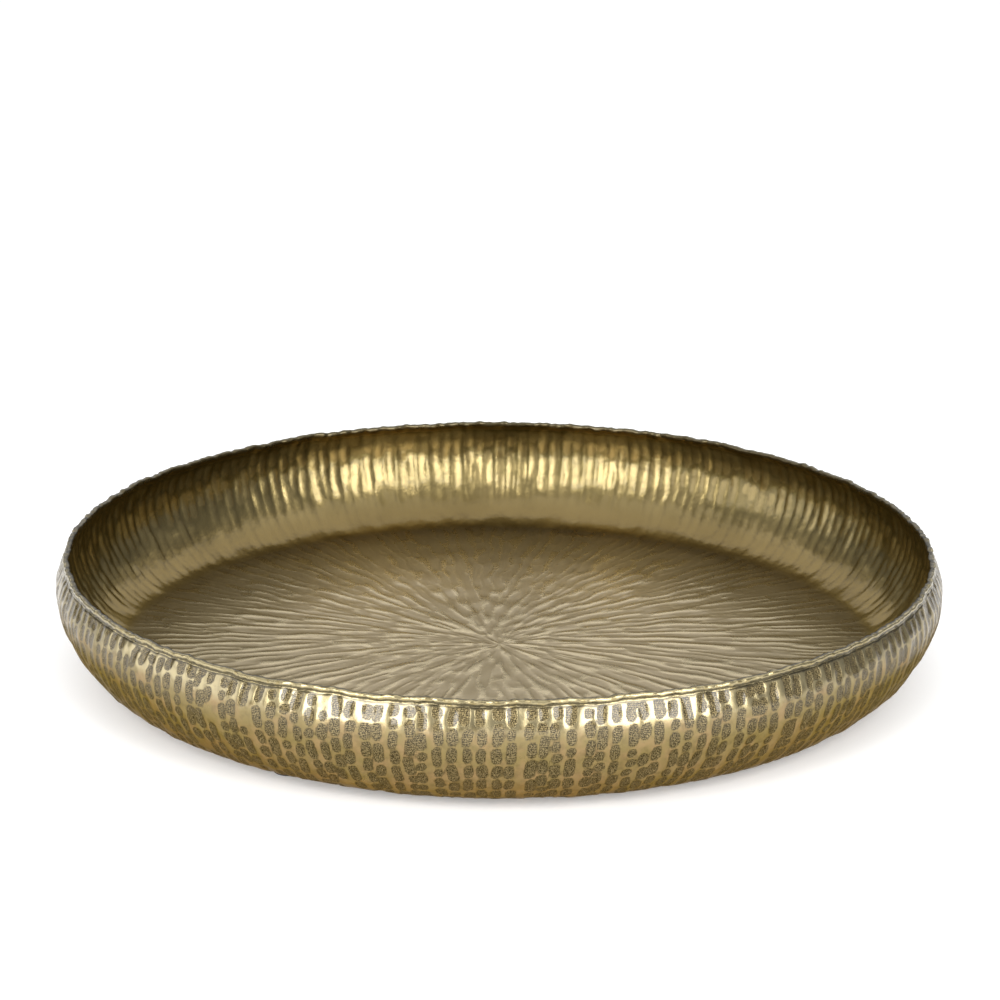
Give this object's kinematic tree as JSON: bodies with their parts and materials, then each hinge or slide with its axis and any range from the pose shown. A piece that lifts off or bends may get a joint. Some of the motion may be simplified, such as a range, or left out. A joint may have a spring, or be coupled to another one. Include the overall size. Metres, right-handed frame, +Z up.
{
  "type": "round serving tray",
  "caption": "Round hammered brass tray with a flat floor, a bulging wall that leans inwards, a thick folded lip and small round pads under the base.",
  "frame": {"origin": "on the tray's axis, on the plane that its foot pads stand on", "axes": "+Z up along the tray's axis, -Y towards the front; the foot pads stand at -121.3, -31.3, 58.7 and 148.7 degrees from +X"},
  "size_m": [0.6, 0.6, 0.08],
  "materials": {
    "antique_brass": "hammered, antiqued and lacquered, satin to glossy",
    "black_rubber": "matt",
    "pad_adhesive": "dull, slightly clear"
  },
  "bodies": {
    "root": {"tray_shell": "antique_brass", "foot_pad_front_left": "black_rubber", "foot_pad_front_right": "black_rubber", "foot_pad_back_right": "black_rubber", "foot_pad_back_left": "black_rubber", "pad_adhesive_front_left": "pad_adhesive", "pad_adhesive_front_right": "pad_adhesive", "pad_adhesive_back_right": "pad_adhesive", "pad_adhesive_back_left": "pad_adhesive"}
  },
  "joints": []
}
